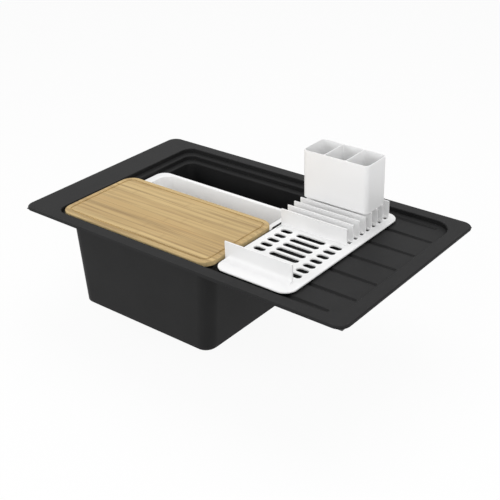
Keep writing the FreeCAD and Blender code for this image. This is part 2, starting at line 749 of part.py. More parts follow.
def strainer_basket():
    """The lift-out basket: a flat rim, a straight wall and a drilled floor."""
    rim_z = "lip_level + flange_lip + running_clearance"
    floor_z = f"{rim_z} - basket_depth"
    body = turned("strainer_basket", [
        ("stem_radius", floor_z),
        ("basket_radius - 1", floor_z),
        ("basket_radius - 1", rim_z),
        ("basket_radius + basket_lip", rim_z),
        ("basket_radius + basket_lip", f"{rim_z} + basket_wall"),
        ("basket_radius - 1 - basket_wall", f"{rim_z} + basket_wall"),
        ("basket_radius - 1 - basket_wall", f"{floor_z} + basket_wall"),
        ("stem_radius", f"{floor_z} + basket_wall"),
    ])
    hole_ring(body, "holes", "basket_radius * 0.65", "4", f"{floor_z} + basket_wall", 10,
              "basket_wall * 2")
    return body


def basket_seal():
    """The rubber plug under the basket, which closes the cup when the basket is pushed down."""
    floor_z = "lip_level + flange_lip + running_clearance - basket_depth"
    return turned("basket_seal", [
        ("0", f"{floor_z} - plug_thickness"),
        ("plug_radius", f"{floor_z} - plug_thickness"),
        ("plug_radius", floor_z),
        ("0", floor_z),
    ])


def basket_knob():
    """The turned pull on its stem, by which the basket is lifted out."""
    floor_z = "lip_level + flange_lip + running_clearance - basket_depth"
    top_z = f"{floor_z} + basket_depth + knob_height"
    return turned("basket_knob", [
        ("0", floor_z),
        ("stem_radius", floor_z),
        ("stem_radius", f"{top_z} - knob_height"),
        ("knob_radius", f"{top_z} - knob_height"),
        ("knob_radius", top_z),
        ("0", top_z),
    ])


# ---------------------------------------------------------------- overflow

def turned_flat(label, corners):
    """A piece turned about the overflow's level axis, from corners of place and radius."""
    body = new_body(label, z="overflow_level")
    profile = new_sketch(body, "profile", "XZ_Plane")
    outline(profile, corners)
    revolve(body, profile, "turned", axis="H_Axis")
    doc.recompute()
    return body


def overflow_cover():
    """The round steel rose inside the bowl, domed, with six short slots round its screw."""
    body = turned_flat("overflow_cover", [
        ("overflow_inside", "screw_radius + screw_clearance"),
        ("overflow_inside", "cover_radius"),
        ("overflow_inside + cover_thickness", "cover_radius - 6"),
        ("overflow_inside + cover_thickness", "screw_radius + screw_clearance"),
    ])
    slots = new_sketch(body, "slots", "YZ_Plane", level="overflow_inside + cover_thickness")
    rectangle(slots, "-4", "4", "9.5", "13.5")
    tool = pocket(body, slots, "slot_cut", "cover_thickness * 2")
    ring(body, tool, slots, "slot_ring", 6)
    return body


def overflow_screw():
    """The screw that holds the rose to the housing through the wall."""
    tail = "housing_face - 14"
    return turned_flat("overflow_screw", [
        (tail, "0"),
        (tail, "screw_radius"),
        ("overflow_inside + cover_thickness", "screw_radius"),
        ("overflow_inside + cover_thickness", "screw_radius * 2"),
        ("overflow_inside + cover_thickness + 1.4", "screw_radius * 2"),
        ("overflow_inside + cover_thickness + 1.4", "0"),
    ])


def overflow_gasket():
    """The rubber ring between the wall and the housing."""
    return turned_flat("overflow_gasket", [
        ("housing_face", "overflow_hole + 2"), ("housing_face", "housing_radius - 0.5"),
        ("overflow_outside", "housing_radius - 0.5"), ("overflow_outside", "overflow_hole + 2"),
    ])


def overflow_housing():
    """The plastic cup behind the wall, with a screw boss inside and a spigot pointing down."""
    back = "housing_face - housing_depth"
    body = turned_flat("overflow_housing", [
        ("housing_face", "cup_outside - housing_wall"),
        ("housing_face", "housing_radius"),
        ("housing_face - housing_flange", "housing_radius"),
        ("housing_face - housing_flange", "cup_outside"),
        (back, "cup_outside"),
        (back, "0"),
        (f"{back} + housing_wall", "0"),
        (f"{back} + housing_wall", "cup_outside - housing_wall"),
    ])
    boss = new_sketch(body, "boss", "YZ_Plane", level=back)
    circle(boss, "0", "0", "6.5")
    pad(body, boss, "screw_boss", "housing_depth")
    foot = "-cup_outside - spigot_length"
    spigot = new_sketch(body, "spigot", level=foot)
    circle(spigot, "pipe_x", "0", "spigot_radius")
    pad(body, spigot, "spigot", "spigot_length + 8")
    doc.recompute()
    cavity = new_sketch(body, "spigot_bore", level=foot)
    circle(cavity, "pipe_x", "0", "pipe_radius + running_clearance / 2")
    pocket(body, cavity, "pipe_socket", "spigot_length", up=True)
    passage = new_sketch(body, "passage", level="-cup_outside - 1")
    circle(passage, "pipe_x", "0", "pipe_bore")
    pocket(body, passage, "passage_cut", "9", up=True)
    screw_hole = new_sketch(body, "screw_hole", "YZ_Plane", level="housing_face")
    circle(screw_hole, "0", "0", "screw_radius + thread_gap")
    pocket(body, screw_hole, "screw_bore", "16")
    return body


def overflow_pipe():
    """One bent pipe from the housing down the outside of the bowl and in to the waste body."""
    top = "overflow_level - cup_outside - 2"
    right_end = "waste_x - body_radius - 10"
    body = new_body("overflow_pipe")
    path = new_sketch(body, "path", "XZ_Plane")
    x, z1, x2, z2 = (value(f) for f in ("pipe_x", top, right_end, "port_level"))
    bend = value("pipe_bend")
    path.addGeometry([
        line(x, z1, x, z2 + bend),
        arc(x + bend, z2 + bend, bend, 2, 3),
        line(x + bend, z2, x2, z2),
    ])
    path.addConstraint([
        Sketcher.Constraint("Tangent", 0, END, 1, START),
        Sketcher.Constraint("Tangent", 1, END, 2, START),
        Sketcher.Constraint("Vertical", 0),
        Sketcher.Constraint("Horizontal", 2),
    ])
    place(path, 0, START, x="pipe_x", y=top)
    place(path, 2, END, x=right_end, y="port_level")
    dimension(path, "Radius", (1,), "pipe_bend")
    section = new_sketch(body, "section", level=top)
    circle(section, "pipe_x", "0", "pipe_radius")
    circle(section, "pipe_x", "0", "pipe_bore")
    pipe = feature(body, "AdditivePipe", "bent_pipe")
    pipe.Profile = section
    pipe.Spine = (path, ["Edge1", "Edge2", "Edge3"])
    doc.recompute()
    return body


def union_nut(name, x, z):
    """A six-sided union nut on a spigot, standing on its own foot at x and z."""
    body = new_body(name, x=x, z=z)
    section = new_sketch(body, "section")
    half, slant = "nut_across_flats / 2", "nut_across_flats / 2 / sqrt(3)"
    outline(section, [(half, f"-({slant})"), (half, slant), ("0", f"2 * {slant}"),
                      (f"-({half})", slant), (f"-({half})", f"-({slant})"),
                      ("0", f"-2 * {slant}")])
    circle(section, "0", "0", "spigot_radius + running_clearance / 2")
    pad(body, section, "hexagon", "nut_length")
    doc.recompute()
    return body


def overflow_nuts():
    """The two nuts of the overflow pipe: one under the housing, one lying at the waste body."""
    upper = union_nut("nut_at_housing", "pipe_x", "overflow_level - cup_outside - spigot_length")
    lower = union_nut("nut_at_waste", "waste_x - body_radius - port_length", "port_level")
    lower.Placement.Rotation = Rotation(Vector(0, 1, 0), 90)
    return group("overflow_nuts", [upper, lower])


# ---------------------------------------------------------------- drying rack

def rack_slots(body, name, left, right, first, pitch, count, width, square=False):
    """A column of slots through the plate, one behind the other, with round or square ends."""
    sketch = new_sketch(body, name, level="rack_top")
    if square:
        rectangle(sketch, left, right, f"{first} - {width} / 2", f"{first} + {width} / 2")
    else:
        slot(sketch, left, right, first, width)
    tool = pocket(body, sketch, f"{name}_cut")
    row(body, tool, sketch, f"{name}_rows", "V_Axis", f"abs({pitch}) * ({count} - 1)", count,
        backwards=value(pitch) < 0)


def drying_rack():
    """A slotted plate with a plate-stop wall at the front and eight fins at the back."""
    body = new_body("drying_rack")
    plate = new_sketch(body, "plate_outline", level="rack_bottom")
    rounded_rectangle(plate, "rack_left", "rack_right", "rack_front", "rack_back", "rack_corner")
    pad(body, plate, "plate", "rack_thickness")
    bevel_edges(body, "plate_edge", "rack_bevel", lambda edge: level_at(edge, value("rack_top")))

    wall = new_sketch(body, "wall_outline", level="rack_bottom")
    wall_front = "rack_front + rack_wall_place"
    rectangle(wall, "rack_left", "fin_right", wall_front, f"{wall_front} + fin_thickness")
    pad(body, wall, "front_wall", "rack_thickness + rack_wall_height")
    round_edges(body, "wall_cove", "rack_wall_cove",
                lambda edge: level_at(edge, value("rack_top"))
                and abs(edge.BoundBox.YMax - value(wall_front)) < CLOSE
                and abs(edge.BoundBox.YMin - value(wall_front)) < CLOSE)

    fin = new_sketch(body, "fin_outline", level="rack_bottom")
    rectangle(fin, "rack_left", "fin_right", "fin_first - fin_thickness / 2",
              "fin_first + fin_thickness / 2")
    first_fin = pad(body, fin, "fin", "rack_thickness + fin_height")
    doc.recompute()
    row(body, first_fin, fin, "fins", "V_Axis", "fin_pitch * (fin_count - 1)", "fin_count")

    columns = (("left_slots", "column_one", "column_one + slot_short"),
               ("middle_slots", "column_two", "column_two + slot_long"),
               ("right_slots", "column_three", "column_end"))
    for name, left, right in columns:
        rack_slots(body, name, left, right, "slot_first", "-slot_pitch", "slot_rows",
                   "slot_width")
        rack_slots(body, f"fin_{name}", left, right, "fin_first + fin_pitch / 2", "fin_pitch",
                   "fin_count - 1", "fin_slot_width", square=True)
    slit = new_sketch(body, "slit", level="rack_top")
    rectangle(slit, "rack_left + slit_inset", "rack_left + slit_inset + slit_width",
              "slot_first - slit_width", "slot_first - slit_width + slit_length")
    pocket(body, slit, "slit_cut")
    return body


def rack_feet():
    """Small rubber feet under the plate's margins, between the drainer's grooves."""
    rows = ("-2.5 * groove_pitch + 5", "-groove_pitch / 2", "groove_pitch / 2",
            "2.5 * groove_pitch - 5")
    feet = []
    for side, x in (("left", "rack_left + slot_margin / 2"),
                    ("right", "rack_right - slot_margin / 2 - 1")):
        for number, y in enumerate(rows):
            foot = doc.addObject("Part::Cylinder", f"rack_foot_{side}_{number + 1}")
            bind(foot, "Radius", "foot_radius")
            bind(foot, "Height", "rack_bottom - upper_floor")
            for axis, formula in zip("xyz", (x, y, "upper_floor")):
                bind(foot, f"Placement.Base.{axis}", formula)
            feet.append(foot)
    return group("rack_feet", feet)


# ---------------------------------------------------------------- cutlery holder

def cutlery_holder():
    """A box of three cells, standing across the rear fins."""
    body = new_body("cutlery_holder", x="holder_x", y="holder_y")
    base = new_sketch(body, "base", level="fin_top")
    rectangle(base, "-holder_length / 2", "holder_length / 2", "-holder_width / 2",
              "holder_width / 2")
    pad(body, base, "box", "holder_height")
    doc.recompute()
    foot, top, floor_ = value("fin_top"), value("holder_top"), value("holder_inside")
    cells = new_sketch(body, "cells", level="holder_inside")
    for number in (-1, 0, 1):
        middle = f"{number} * (cell_length + holder_wall)"
        rectangle(cells, f"{middle} - cell_length / 2", f"{middle} + cell_length / 2",
                  "-cell_width / 2", "cell_width / 2")
    pocket(body, cells, "cells_cut", "holder_top - holder_inside", up=True)
    end = value("holder_length / 2 - holder_wall - cell_corner")
    round_edges(body, "end_corners", "holder_corner - holder_wall",
                lambda edge: spans(edge, floor_, top) and abs(edge.CenterOfMass.x) > end)
    round_edges(body, "inner_corners", "cell_corner",
                lambda edge: spans(edge, floor_, top) and abs(edge.CenterOfMass.x) < end / 2)
    round_edges(body, "outer_corners", "holder_corner", lambda edge: spans(edge, foot, top))
    drain = new_sketch(body, "drain_hole", level="holder_inside")
    circle(drain, "-cell_length - holder_wall", "0", "drain_hole")
    tool = pocket(body, drain, "drain_cut", "holder_floor * 2")
    row(body, tool, drain, "drain_holes", "H_Axis", "2 * (cell_length + holder_wall)", "3")
    return body


# ---------------------------------------------------------------- chopping board

def chopping_board():
    """A bamboo board with bevelled edges and a narrow juice groove round its top."""
    body = new_body("chopping_board")
    block = new_sketch(body, "block_outline", level="board_bottom")
    rounded_rectangle(block, "board_left", "board_right", "board_front", "board_back",
                      "board_corner")
    pad(body, block, "block", "board_thickness")
    bevel_edges(body, "edges", "board_bevel",
                lambda edge: level_at(edge, value("board_top"))
                or level_at(edge, value("board_bottom")))
    # The groove lies between two outlines that follow the board's own.
    groove = new_sketch(body, "juice_groove", level="board_top")
    for inset in ("juice_inset", "juice_inset + juice_width"):
        rounded_rectangle(groove, f"board_left + {inset}", f"board_right - ({inset})",
                          f"board_front + {inset}", f"board_back - ({inset})",
                          f"board_corner - ({inset})")
    pocket(body, groove, "juice_groove_cut", "juice_depth")
    return body


# ---------------------------------------------------------------- colander

def colander():
    """A white tray that hangs in the bowl from the lower shelves, with a slotted floor."""
    body = new_body("colander")
    flange = new_sketch(body, "flange_outline", level="lower_floor")
    rounded_rectangle(flange, "tray_left", "tray_right", "tray_front", "tray_back",
                      "tray_corner")
    pad(body, flange, "flange", "tray_thickness")

    def hanging_outline(name, level, grow):
        """The outline of the hanging part, standing out from the cavity's by grow."""
        sketch = new_sketch(body, name, level=level)
        rectangle(sketch, f"tray_left + tray_ledge_left - {grow}",
                  f"tray_right - tray_ledge_right + {grow}",
                  f"tray_front + tray_side_ledge - {grow}",
                  f"tray_back - tray_side_ledge + {grow}")
        return sketch

    # The walls lean in. Corners and foot share one radius, so that they meet in parts of a ball.
    flange_foot, top = value("lower_floor"), value("tray_top")
    outside_floor, cavity_floor = value("tray_bottom"), value("tray_bottom + tray_wall")
    outside = hanging_outline("outside_outline", "lower_floor", "tray_wall")
    hanging_part = pad(body, outside, "hanging_part", "tray_depth", down=True)
    bind(hanging_part, "TaperAngle", "-tray_draft_angle")
    doc.recompute()
    mouth = hanging_outline("cavity_mouth", "tray_top", "0")
    cavity = pocket(body, mouth, "cavity", "tray_top - tray_bottom - tray_wall")
    bind(cavity, "TaperAngle", "-tray_draft_angle")
    round_edges(body, "cavity_rounds", "cavity_corner",
                lambda edge: spans(edge, cavity_floor, top) or level_at(edge, cavity_floor))
    round_edges(body, "outside_rounds", "cavity_corner + tray_wall",
                lambda edge: spans(edge, outside_floor, flange_foot)
                or level_at(edge, outside_floor))
    bevel_edges(body, "lip_edges", "tray_bevel", lambda edge: level_at(edge, top))

    slots = new_sketch(body, "drain_slots", level="tray_bottom + tray_wall")
    first_x = "tray_middle_x - (tray_slot_columns - 1) / 2 * tray_slot_pitch"
    first_y = "tray_middle_y - (tray_slot_rows - 1) / 2 * tray_row_pitch"
    rectangle(slots, f"{first_x} - tray_slot_length / 2", f"{first_x} + tray_slot_length / 2",
              f"{first_y} - tray_slot_width / 2", f"{first_y} + tray_slot_width / 2")
    tool = pocket(body, slots, "drain_slot_cut", "tray_wall * 2")
    pattern = feature(body, "LinearPattern", "drain_slot_rows")
    pattern.Originals = [tool]
    pattern.Direction = (slots, ["H_Axis"])
    pattern.Direction2 = (slots, ["V_Axis"])
    bind(pattern, "Length", "tray_slot_pitch * (tray_slot_columns - 1)")
    bind(pattern, "Occurrences", "tray_slot_columns")
    bind(pattern, "Length2", "tray_row_pitch * (tray_slot_rows - 1)")
    bind(pattern, "Occurrences2", "tray_slot_rows")
    body.Tip = pattern
    doc.recompute()
    return body


# ---------------------------------------------------------------- the whole sink

def main():
    pieces = [
        sink_body(),
        rim_seal(),
        waste_flange(),
        washer("flange_gasket", "waste_hole + 1", "flange_radius - 1", "seat_level", "lip_level"),
        washer("body_gasket", "waste_hole + 1", "body_flange_radius - 1", "body_top", "underside"),
        waste_body(),
        clamp_screw(),
        strainer_basket(),
        basket_seal(),
        basket_knob(),
        overflow_cover(),
        overflow_screw(),
        overflow_gasket(),
        overflow_housing(),
        overflow_pipe(),
        overflow_nuts(),
        drying_rack(),
        rack_feet(),
        cutlery_holder(),
        chopping_board(),
        colander(),
    ]
    doc.recompute()
    for thing in doc.Objects:
        if "Invalid" in thing.State or "Error" in thing.State:
            raise RuntimeError(f"{thing.Label} failed: {thing.State}")
    os.makedirs("parts", exist_ok=True)
    for piece in pieces:
        shape = piece.Shape
        if shape.isNull() or not shape.isValid():
            raise RuntimeError(f"{piece.Label} has no valid shape")
        shape.exportStep(f"parts/{piece.Label}.step")
        print(piece.Label, len(shape.Solids), round(shape.Volume))


main()
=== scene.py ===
# %% [markdown]
# # A kitchen sink set out for washing up
# The object is a black composite sink with a deep bowl and a grooved drainer. A bamboo board and
# a white colander lie across the bowl, and a white drying rack with a cutlery holder stands on the
# drainer. The solid shapes come from the CAD frame, already at their true size, so this lesson is
# about the three things that turn shapes into a picture: the camera, the light and the finishes.

import bpy
import json
import math
from mathutils import Matrix, Vector


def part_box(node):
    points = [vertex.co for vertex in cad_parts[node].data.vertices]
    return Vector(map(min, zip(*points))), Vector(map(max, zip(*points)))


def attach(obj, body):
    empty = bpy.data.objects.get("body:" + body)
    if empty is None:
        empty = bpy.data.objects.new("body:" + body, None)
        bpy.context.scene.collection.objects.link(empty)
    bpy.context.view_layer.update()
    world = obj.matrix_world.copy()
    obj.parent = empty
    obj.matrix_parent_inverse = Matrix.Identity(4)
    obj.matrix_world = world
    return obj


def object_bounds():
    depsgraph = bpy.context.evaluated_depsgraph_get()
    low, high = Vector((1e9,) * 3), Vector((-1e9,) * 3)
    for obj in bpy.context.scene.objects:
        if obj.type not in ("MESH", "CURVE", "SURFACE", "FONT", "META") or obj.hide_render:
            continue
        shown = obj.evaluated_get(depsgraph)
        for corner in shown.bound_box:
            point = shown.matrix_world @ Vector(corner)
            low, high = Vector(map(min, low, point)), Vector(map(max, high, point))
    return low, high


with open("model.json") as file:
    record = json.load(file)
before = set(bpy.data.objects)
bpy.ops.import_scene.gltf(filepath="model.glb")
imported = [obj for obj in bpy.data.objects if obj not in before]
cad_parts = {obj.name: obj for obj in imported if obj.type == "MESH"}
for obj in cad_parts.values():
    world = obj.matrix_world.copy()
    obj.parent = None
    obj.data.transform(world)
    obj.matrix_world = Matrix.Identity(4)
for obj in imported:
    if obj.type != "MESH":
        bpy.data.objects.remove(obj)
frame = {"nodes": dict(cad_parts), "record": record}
cad_low, cad_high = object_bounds()
scene = bpy.context.scene
scene.view_settings.view_transform = "Standard"
print("size in mm:", [round(1000 * (high - low)) for low, high in zip(cad_low, cad_high)])

# %% [markdown]
# ## The camera
# A product picture like this one is taken from the front right, a little above the worktop. We
# aim the camera by three angles and a distance: it circles an aim point on the rim, climbs, and
# tilts very slightly. A long lens keeps the far corner from shrinking too much. The small
# sideways shift does what the photographer's crop did.

# %% Aim the camera
AIM = Vector((0.1370, -0.1019, 0.006))
AZIMUTH, ELEVATION, TILT = (math.radians(angle) for angle in (38.629, 28.501, -1.419))
DISTANCE = 1.968
LENS_IN_PIXELS = 970.9
IMAGE_SIDE = 500
CENTRE_COLUMN = 263.35
CENTRE_ROW = 250.5

backwards = Vector((math.sin(AZIMUTH) * math.cos(ELEVATION),
                    -math.cos(AZIMUTH) * math.cos(ELEVATION),
                    math.sin(ELEVATION)))
right = Vector((math.cos(AZIMUTH), math.sin(AZIMUTH), 0))
upwards = backwards.cross(right)
turn = Matrix((right, upwards, backwards)).transposed() @ Matrix.Rotation(TILT, 3, "Z")

lens = bpy.data.cameras.new("product_camera")
lens.sensor_width = 36
lens.lens = LENS_IN_PIXELS * lens.sensor_width / IMAGE_SIDE
lens.shift_x = (IMAGE_SIDE / 2 - CENTRE_COLUMN) / IMAGE_SIDE
lens.shift_y = (CENTRE_ROW - IMAGE_SIDE / 2) / IMAGE_SIDE
camera = bpy.data.objects.new("product_camera", lens)
camera.matrix_world = Matrix.Translation(AIM + backwards * DISTANCE) @ turn.to_4x4()
scene.collection.objects.link(camera)
scene.camera = camera
print("lens:", round(lens.lens, 1), "mm, at", [round(place, 2) for place in camera.location])

# %% [markdown]
# ## A white room
# The picture has a plain white ground. A floor below the waste outlet catches the sink's shadow,
# and a pale world stands for the walls of a light tent. What the camera sees of the world
# directly is set to pure white, which puts no extra light on the object.

# %% Lay the floor
def new_material(name):
    """A material with an empty node tree but for its shader and output."""
    material = bpy.data.materials.new(name)
    material.use_nodes = True
    return material


def shader_of(material):
    return material.node_tree.nodes["Principled BSDF"]


def add_node(material, kind, **settings):
    """One node, with its settings given by name."""
    node = material.node_tree.nodes.new(f"ShaderNode{kind}")
    for name, setting in settings.items():
        setattr(node, name, setting)
    return node


def join(material, output, socket):
    material.node_tree.links.new(output, socket)


floor_mesh = bpy.data.meshes.new("floor")
FLOOR_REACH = 6.0
GAP_UNDER_OUTLET = 0.004
FLOOR_LEVEL = cad_low.z - GAP_UNDER_OUTLET
corner_signs = ((-1, -1), (1, -1), (1, 1), (-1, 1))
floor_mesh.from_pydata(
    [(x * FLOOR_REACH, y * FLOOR_REACH, FLOOR_LEVEL) for x, y in corner_signs],
    [], [(0, 1, 2, 3)])
floor = bpy.data.objects.new("floor", floor_mesh)
scene.collection.objects.link(floor)

PLAIN_WHITE_SHARE = 0.93

paper = new_material("white_paper")
shader_of(paper).inputs["Base Color"].default_value = (0.9, 0.9, 0.9, 1)
shader_of(paper).inputs["Roughness"].default_value = 0.9
glow = add_node(paper, "Emission")
glow.inputs["Strength"].default_value = 1.0
light_path = add_node(paper, "LightPath")
seen_or_mirrored = add_node(paper, "Math", operation="MAXIMUM")
seen_any_way = add_node(paper, "Math", operation="MAXIMUM")
seen = add_node(paper, "Math", operation="MULTIPLY")
seen.inputs[1].default_value = PLAIN_WHITE_SHARE
mixer = add_node(paper, "MixShader")
join(paper, light_path.outputs["Is Camera Ray"], seen_or_mirrored.inputs[0])
join(paper, light_path.outputs["Is Glossy Ray"], seen_or_mirrored.inputs[1])
join(paper, light_path.outputs["Is Transmission Ray"], seen_any_way.inputs[0])
join(paper, seen_or_mirrored.outputs[0], seen_any_way.inputs[1])
join(paper, seen_any_way.outputs[0], seen.inputs[0])
join(paper, seen.outputs[0], mixer.inputs["Fac"])
join(paper, shader_of(paper).outputs[0], mixer.inputs[1])
join(paper, glow.outputs[0], mixer.inputs[2])
join(paper, mixer.outputs[0], paper.node_tree.nodes["Material Output"].inputs["Surface"])
floor_mesh.materials.append(paper)
print("floor at", round(FLOOR_LEVEL, 3), "m")

# %% Light the tent
TENT_STRENGTH = 0.46
SEEN_STRENGTH = 1.0

world = bpy.data.worlds.new("light_tent")
scene.world = world
world.use_nodes = True
tent = world.node_tree
tent.nodes.clear()
walls = tent.nodes.new("ShaderNodeBackground")
walls.inputs["Color"].default_value = (1, 1, 1, 1)
walls.inputs["Strength"].default_value = TENT_STRENGTH
ground = tent.nodes.new("ShaderNodeBackground")
ground.inputs["Color"].default_value = (1, 1, 1, 1)
ground.inputs["Strength"].default_value = SEEN_STRENGTH
which = tent.nodes.new("ShaderNodeLightPath")
mirrored = tent.nodes.new("ShaderNodeMath")
seen_at_all = tent.nodes.new("ShaderNodeMath")
mirrored.operation = seen_at_all.operation = "MAXIMUM"
tent.links.new(which.outputs["Is Glossy Ray"], mirrored.inputs[0])
tent.links.new(which.outputs["Is Transmission Ray"], mirrored.inputs[1])
tent.links.new(which.outputs["Is Camera Ray"], seen_at_all.inputs[0])
tent.links.new(mirrored.outputs[0], seen_at_all.inputs[1])
switch = tent.nodes.new("ShaderNodeMixShader")
result = tent.nodes.new("ShaderNodeOutputWorld")
tent.links.new(seen_at_all.outputs[0], switch.inputs["Fac"])
tent.links.new(walls.outputs[0], switch.inputs[1])
tent.links.new(ground.outputs[0], switch.inputs[2])
tent.links.new(switch.outputs[0], result.inputs["Surface"])


def soft_box(name, place, aim, width, height, power):
    """A rectangular lamp that faces its aim."""
    lamp = bpy.data.lights.new(name, "AREA")
    lamp.shape = "RECTANGLE"
    lamp.size, lamp.size_y, lamp.energy = width, height, power
    body = bpy.data.objects.new(name, lamp)
    body.location = place
    body.rotation_euler = (Vector(aim) - Vector(place)).to_track_quat("-Z", "Y").to_euler()
    scene.collection.objects.link(body)


# name, place, aim, width, height and watts
soft_box("overhead", (0.1, 0.5, 2.2), (0, 0, 0), 2.0, 1.6, 26)
soft_box("front_left", (-1.5, -2.2, 1.0), (0, 0, 0), 1.8, 1.2, 27)
soft_box("front_right", (1.9, -1.5, 0.9), (0.1, 0, 0), 1.6, 1.2, 22)
print("lamps:", [lamp.name for lamp in bpy.data.lights])

# %% [markdown]
# ## Finishes from noise
# None of these finishes needs a painted picture. Each is a recipe: noise at the true size of the
# grain moves the colour a little, the roughness a little and the surface up and down a very
# little. The helpers below feed a noise, read in metres, into those three sockets.

# %% Helpers for grain
def place_in_metres(material, stretch=(1, 1, 1)):
    """The spot on the object, in metres, stretched along each axis."""
    spot = add_node(material, "TexCoord")
    mapping = add_node(material, "Mapping")
    mapping.inputs["Scale"].default_value = stretch
    join(material, spot.outputs["Object"], mapping.inputs["Vector"])
    return mapping.outputs["Vector"]


def grain(material, grains_per_metre, detail=4.0, stretch=(1, 1, 1)):
    """A noise whose grains have a true size."""
    noise = add_node(material, "TexNoise")
    noise.inputs["Scale"].default_value = grains_per_metre
    noise.inputs["Detail"].default_value = detail
    join(material, place_in_metres(material, stretch), noise.inputs["Vector"])
    return noise.outputs["Fac"]


def blend_range(material, amount, low, high, spread=(0.35, 0.65)):
    """Turns a noise into a number between low and high."""
    ranged = add_node(material, "MapRange")
    ranged.inputs["From Min"].default_value, ranged.inputs["From Max"].default_value = spread
    ranged.inputs["To Min"].default_value, ranged.inputs["To Max"].default_value = low, high
    join(material, amount, ranged.inputs["Value"])
    return ranged.outputs["Result"]


def blend_colours(material, amount, first, second):
    """Mixes two colours by an amount from 0 to 1."""
    mix = add_node(material, "Mix", data_type="RGBA")
    for socket, colour in ((mix.inputs["A"], first), (mix.inputs["B"], second)):
        if hasattr(colour, "is_output"):
            join(material, colour, socket)
        else:
            socket.default_value = (*colour, 1)
    join(material, amount, mix.inputs["Factor"])
    return mix.outputs["Result"]


def bumps(material, height, distance, strength=1.0, under=None):
    """Raises and lowers the surface by up to a distance in metres."""
    bump = add_node(material, "Bump")
    bump.inputs["Distance"].default_value = distance
    bump.inputs["Strength"].default_value = strength
    join(material, height, bump.inputs["Height"])
    if under is not None:
        join(material, under, bump.inputs["Normal"])
    return bump.outputs["Normal"]


def dress(material, *nodes):
    """Gives a finish to CAD nodes."""
    for node in nodes:
        solid = frame["nodes"][node]
        solid.data.materials.clear()
        solid.data.materials.append(material)
    print(material.name, "on", ", ".join(nodes))


# %% [markdown]
# ## The stone composite
# The sink is moulded from quartz sand in black resin. Up close the skin is a fine, matt, slightly
# pebbled surface, in which paler and darker grains show, with no gloss anywhere. We mix two
# blacks by a fine noise, let slow clouds of a third drift through, and pebble the surface by
# hundredths of a millimetre.

# %% Mix the stone
BLACK_GRAIN = (0.008, 0.008, 0.0083)
GREY_GRAIN = (0.014, 0.014, 0.0143)
CLOUD = (0.016, 0.016, 0.0163)
GROOVE_PAINTED_SHADE = (0.0015, 0.0015, 0.0016)
STONE_SHINE = 0.14

stone = new_material("stone_composite")
sand = grain(stone, 900, detail=3)
cloud = grain(stone, 14, detail=5)
dark_or_pale = blend_colours(stone, blend_range(stone, sand, 0, 1, (0.38, 0.64)),
                             BLACK_GRAIN, GREY_GRAIN)
clouded = blend_colours(stone, blend_range(stone, cloud, 0, 0.35), dark_or_pale, CLOUD)
join(stone, blend_range(stone, sand, 0.50, 0.62), shader_of(stone).inputs["Roughness"])
shader_of(stone).inputs["Specular IOR Level"].default_value = STONE_SHINE
pebbles = bumps(stone, sand, 0.00012, 0.5)
join(stone, bumps(stone, cloud, 0.0004, 0.15, under=pebbles), shader_of(stone).inputs["Normal"])

# %% [markdown]
# The drainer's grooves are painted near black. This is painted shade that stands in for the
# shadow falling into them. So the last mix asks how far below the drainer's floor a spot lies.
# The floor's height is that of the rack's feet, and the drainer starts at the rack's left edge,
# so both come from the frame.

# %% Paint shade into the grooves
def ramp(material, place, start, end):
    """0 before the start, 1 past the end, for one coordinate of a spot in metres."""
    ramped = add_node(material, "MapRange")
    ramped.inputs["From Min"].default_value, ramped.inputs["From Max"].default_value = start, end
    join(material, place, ramped.inputs["Value"])
    return ramped.outputs["Result"]


def both(material, first, second):
    """1 only where both numbers are 1."""
    product = add_node(material, "Math", operation="MULTIPLY")
    join(material, first, product.inputs[0])
    join(material, second, product.inputs[1])
    return product.outputs[0]


GROOVE_DEPTH = 0.005
RACK_TO_DRAINER = 0.006
drainer_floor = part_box("rack_feet")[0].z
drainer_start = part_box("drying_rack")[0].x - RACK_TO_DRAINER
spot = add_node(stone, "SeparateXYZ")
join(stone, place_in_metres(stone), spot.inputs["Vector"])
sunk = both(stone, ramp(stone, spot.outputs["Z"], drainer_floor - 0.0001, drainer_floor - 0.0016),
            ramp(stone, spot.outputs["Z"], drainer_floor - 1.3 * GROOVE_DEPTH,
                 drainer_floor - 1.2 * GROOVE_DEPTH))
groove_shade_mask = both(stone, sunk, ramp(stone, spot.outputs["X"], drainer_start, drainer_start + 0.001))
# painted shade: grooves below the drainer's floor are coloured near black
stone_colour = blend_colours(stone, groove_shade_mask, clouded, GROOVE_PAINTED_SHADE)
join(stone, stone_colour, shader_of(stone).inputs["Base Color"])
dress(stone, "sink_body")
print("drainer floor at", round(1000 * drainer_floor, 1), "mm, from x =",
      round(1000 * drainer_start, 1), "mm")

# %% [markdown]
# ## White moulded plastic
# The colander, the rack and the holder are polypropylene, moulded in white. It is satin, not
# glossy, and its faint orange-peel skin softens reflections. White surfaces are never given pure
# white, because light bouncing between them would then wash them out. The rack lies flat under
# the brightest lamp, so its white is painted darker, as painted shade, to offset that lamp.

# %% Mould the white pieces
def mould_white(name, deepest, palest):
    """White polypropylene whose brightness drifts between two numbers."""
    moulding = new_material(name)
    skin = grain(moulding, 260, detail=3)
    patches = grain(moulding, 9, detail=2)
    join(moulding, blend_colours(moulding, blend_range(moulding, patches, 0, 1),
                                 (deepest,) * 3, (palest,) * 3),
         shader_of(moulding).inputs["Base Color"])
    join(moulding, blend_range(moulding, skin, 0.34, 0.44), shader_of(moulding).inputs["Roughness"])
    join(moulding, bumps(moulding, skin, 0.00006, 0.35), shader_of(moulding).inputs["Normal"])
    return moulding


# the rack gets a copy of the same white painted darker: painted shade against its strong lamp
dress(mould_white("rack_moulding_painted_darker", 0.82, 0.845), "drying_rack")
dress(mould_white("vessel_moulding", 0.895, 0.915), "colander", "cutlery_holder")

# %% [markdown]
# ## Bamboo
# A bamboo board is glued up from strips of split cane, each 20 mm or so wide and as long as the
# board. Every strip has its own tone, and a thin dark line of glue parts it from the next. A
# picture of wood would do, but it would stretch over the rounded edges, so we build the wood
# from the distance across and along the board, and it runs right through, as the real one does.

